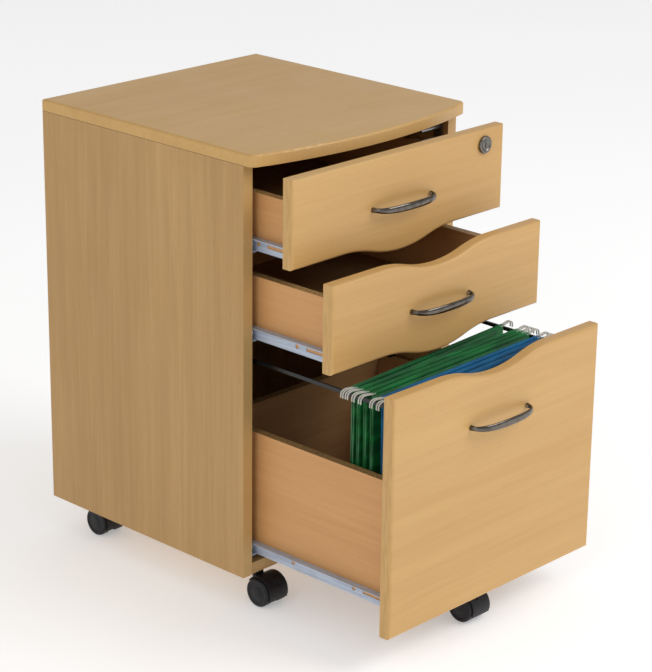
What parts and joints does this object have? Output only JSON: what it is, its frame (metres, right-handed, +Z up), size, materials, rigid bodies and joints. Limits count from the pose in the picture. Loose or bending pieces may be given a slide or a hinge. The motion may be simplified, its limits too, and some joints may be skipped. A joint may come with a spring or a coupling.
{
  "type": "mobile filing pedestal",
  "caption": "Mobile under-desk pedestal on castors: bowed top, two shallow drawers and a file drawer with hanging rails, bow handles and a lock.",
  "frame": {"origin": "on the floor, in line with the back face and on the middle plane between the sides", "axes": "+Z up; the drawer fronts face -Y; +X to the right seen from the front"},
  "size_m": [0.404, 0.67, 0.63],
  "materials": {
    "beech_laminate": "beech-effect melamine and foil, satin",
    "drawer_board": "beech-effect paper foil on chipboard",
    "coated_steel": "pale grey epoxy powder coat",
    "nylon": "moulded",
    "dark_chrome": "polished black chrome",
    "black_steel": "black paint",
    "zinc_steel": "zinc plated",
    "file_card": "coloured card",
    "castor_plastic": "moulded nylon"
  },
  "bodies": {
    "carcass": {"back_panel": "beech_laminate", "bottom_panel": "beech_laminate", "cam_fittings": "zinc_steel", "castor_stems": "zinc_steel", "left_cabinet_runners": "coated_steel", "left_side_panel": "beech_laminate", "lock_bar_guides": "zinc_steel", "right_cabinet_runners": "coated_steel", "right_side_panel": "beech_laminate", "runner_screws": "zinc_steel", "top_panel": "beech_laminate"},
    "lock_bar": {"lock_bar": "zinc_steel"},
    "lock_plug": {"lock_plug": "dark_chrome"},
    "drawer_1": {"drawer_1_back": "drawer_board", "drawer_1_bottom": "drawer_board", "drawer_1_catch_pin": "zinc_steel", "drawer_1_front": "beech_laminate", "drawer_1_left_side": "drawer_board", "drawer_1_right_side": "drawer_board", "drawer_1_runners": "coated_steel", "handle_1": "dark_chrome", "handle_1_screws": "zinc_steel", "lock_housing": "dark_chrome"},
    "front_rollers_1": {"front_rollers_1": "nylon"},
    "rear_rollers_1": {"rear_rollers_1": "nylon"},
    "drawer_2": {"drawer_2_back": "drawer_board", "drawer_2_bottom": "drawer_board", "drawer_2_catch_pin": "zinc_steel", "drawer_2_front": "beech_laminate", "drawer_2_left_side": "drawer_board", "drawer_2_right_side": "drawer_board", "drawer_2_runners": "coated_steel", "handle_2": "dark_chrome", "handle_2_screws": "zinc_steel"},
    "front_rollers_2": {"front_rollers_2": "nylon"},
    "rear_rollers_2": {"rear_rollers_2": "nylon"},
    "drawer_3": {"drawer_3_back": "drawer_board", "drawer_3_bottom": "drawer_board", "drawer_3_catch_pin": "zinc_steel", "drawer_3_front": "beech_laminate", "drawer_3_left_side": "drawer_board", "drawer_3_right_side": "drawer_board", "drawer_3_runners": "coated_steel", "handle_3": "dark_chrome", "handle_3_screws": "zinc_steel", "hanging_rails": "black_steel", "suspension_files": "file_card", "castor_5_mount": "black_steel"},
    "front_rollers_3": {"front_rollers_3": "nylon"},
    "rear_rollers_3": {"rear_rollers_3": "nylon"},
    "castor_1_hood": {"castor_1_hood": "castor_plastic"},
    "castor_1_wheels": {"castor_1_wheels": "castor_plastic"},
    "castor_2_hood": {"castor_2_hood": "castor_plastic"},
    "castor_2_wheels": {"castor_2_wheels": "castor_plastic"},
    "castor_3_hood": {"castor_3_hood": "castor_plastic"},
    "castor_3_wheels": {"castor_3_wheels": "castor_plastic"},
    "castor_4_hood": {"castor_4_hood": "castor_plastic"},
    "castor_4_wheels": {"castor_4_wheels": "castor_plastic"},
    "castor_5_hood": {"castor_5_hood": "castor_plastic"},
    "castor_5_wheels": {"castor_5_wheels": "castor_plastic"}
  },
  "joints": [
    {"name": "drawer_1_slide", "type": "slide", "parent": "carcass", "child": "drawer_1", "axis": [0, -1, 0], "range_m": [-0.067, 0.193]},
    {"name": "front_rollers_1_spin", "type": "hinge", "parent": "carcass", "child": "front_rollers_1", "pos_m": [0, -0.373, 0.5061], "axis": [1, 0, 0], "range_deg": [-549.4, 1580.73]},
    {"name": "rear_rollers_1_spin", "type": "hinge", "parent": "drawer_1", "child": "rear_rollers_1", "pos_m": [0, -0.118, 0.5048], "axis": [1, 0, 0], "range_deg": [-549.4, 1580.73]},
    {"name": "drawer_2_slide", "type": "slide", "parent": "carcass", "child": "drawer_2", "axis": [0, -1, 0], "range_m": [-0.137, 0.123]},
    {"name": "front_rollers_2_spin", "type": "hinge", "parent": "carcass", "child": "front_rollers_2", "pos_m": [0, -0.373, 0.3866], "axis": [1, 0, 0], "range_deg": [-1122.36, 1007.77]},
    {"name": "rear_rollers_2_spin", "type": "hinge", "parent": "drawer_2", "child": "rear_rollers_2", "pos_m": [0, -0.188, 0.3853], "axis": [1, 0, 0], "range_deg": [-1122.36, 1007.77]},
    {"name": "drawer_3_slide", "type": "slide", "parent": "carcass", "child": "drawer_3", "axis": [0, -1, 0], "range_m": [-0.241, 0.019]},
    {"name": "front_rollers_3_spin", "type": "hinge", "parent": "carcass", "child": "front_rollers_3", "pos_m": [0, -0.373, 0.0856], "axis": [1, 0, 0], "range_deg": [-1973.61, 156.52]},
    {"name": "rear_rollers_3_spin", "type": "hinge", "parent": "drawer_3", "child": "rear_rollers_3", "pos_m": [0, -0.292, 0.0843], "axis": [1, 0, 0], "range_deg": [-1973.61, 156.52]},
    {"name": "lock_turn", "type": "hinge", "parent": "drawer_1", "child": "lock_plug", "pos_m": [0.161, -0.472, 0.5907], "axis": [0, -1, 0], "range_deg": [-1, 181]},
    {"name": "lock_bar_lift", "type": "slide", "parent": "carcass", "child": "lock_bar", "axis": [0, 0, 1], "range_m": [0, 0.012]},
    {"name": "castor_1_swivel", "type": "hinge", "parent": "carcass", "child": "castor_1_hood", "pos_m": [-0.157, -0.369, 0.05], "axis": [0, 0, 1], "continuous": true},
    {"name": "castor_1_roll", "type": "hinge", "parent": "castor_1_hood", "child": "castor_1_wheels", "pos_m": [-0.157, -0.387, 0.02], "axis": [1, 0, 0], "continuous": true},
    {"name": "castor_2_swivel", "type": "hinge", "parent": "carcass", "child": "castor_2_hood", "pos_m": [0.157, -0.369, 0.05], "axis": [0, 0, 1], "continuous": true},
    {"name": "castor_2_roll", "type": "hinge", "parent": "castor_2_hood", "child": "castor_2_wheels", "pos_m": [0.157, -0.387, 0.02], "axis": [1, 0, 0], "continuous": true},
    {"name": "castor_3_swivel", "type": "hinge", "parent": "carcass", "child": "castor_3_hood", "pos_m": [-0.157, -0.043, 0.05], "axis": [0, 0, 1], "continuous": true},
    {"name": "castor_3_roll", "type": "hinge", "parent": "castor_3_hood", "child": "castor_3_wheels", "pos_m": [-0.157, -0.061, 0.02], "axis": [1, 0, 0], "continuous": true},
    {"name": "castor_4_swivel", "type": "hinge", "parent": "carcass", "child": "castor_4_hood", "pos_m": [0.157, -0.043, 0.05], "axis": [0, 0, 1], "continuous": true},
    {"name": "castor_4_roll", "type": "hinge", "parent": "castor_4_hood", "child": "castor_4_wheels", "pos_m": [0.157, -0.061, 0.02], "axis": [1, 0, 0], "continuous": true},
    {"name": "castor_5_swivel", "type": "hinge", "parent": "drawer_3", "child": "castor_5_hood", "pos_m": [0, -0.589, 0.05], "axis": [0, 0, 1], "continuous": true},
    {"name": "castor_5_roll", "type": "hinge", "parent": "castor_5_hood", "child": "castor_5_wheels", "pos_m": [0, -0.607, 0.02], "axis": [1, 0, 0], "continuous": true}
  ],
  "couplings": [
    {"joint": "front_rollers_1_spin", "follows": "drawer_1_slide", "rad_per_m": 142.86},
    {"joint": "rear_rollers_1_spin", "follows": "drawer_1_slide", "rad_per_m": 142.86},
    {"joint": "front_rollers_2_spin", "follows": "drawer_2_slide", "rad_per_m": 142.86},
    {"joint": "rear_rollers_2_spin", "follows": "drawer_2_slide", "rad_per_m": 142.86},
    {"joint": "front_rollers_3_spin", "follows": "drawer_3_slide", "rad_per_m": 142.86},
    {"joint": "rear_rollers_3_spin", "follows": "drawer_3_slide", "rad_per_m": 142.86},
    {"joint": "lock_turn", "follows": "lock_bar_lift", "rad_per_m": 261.8}
  ]
}
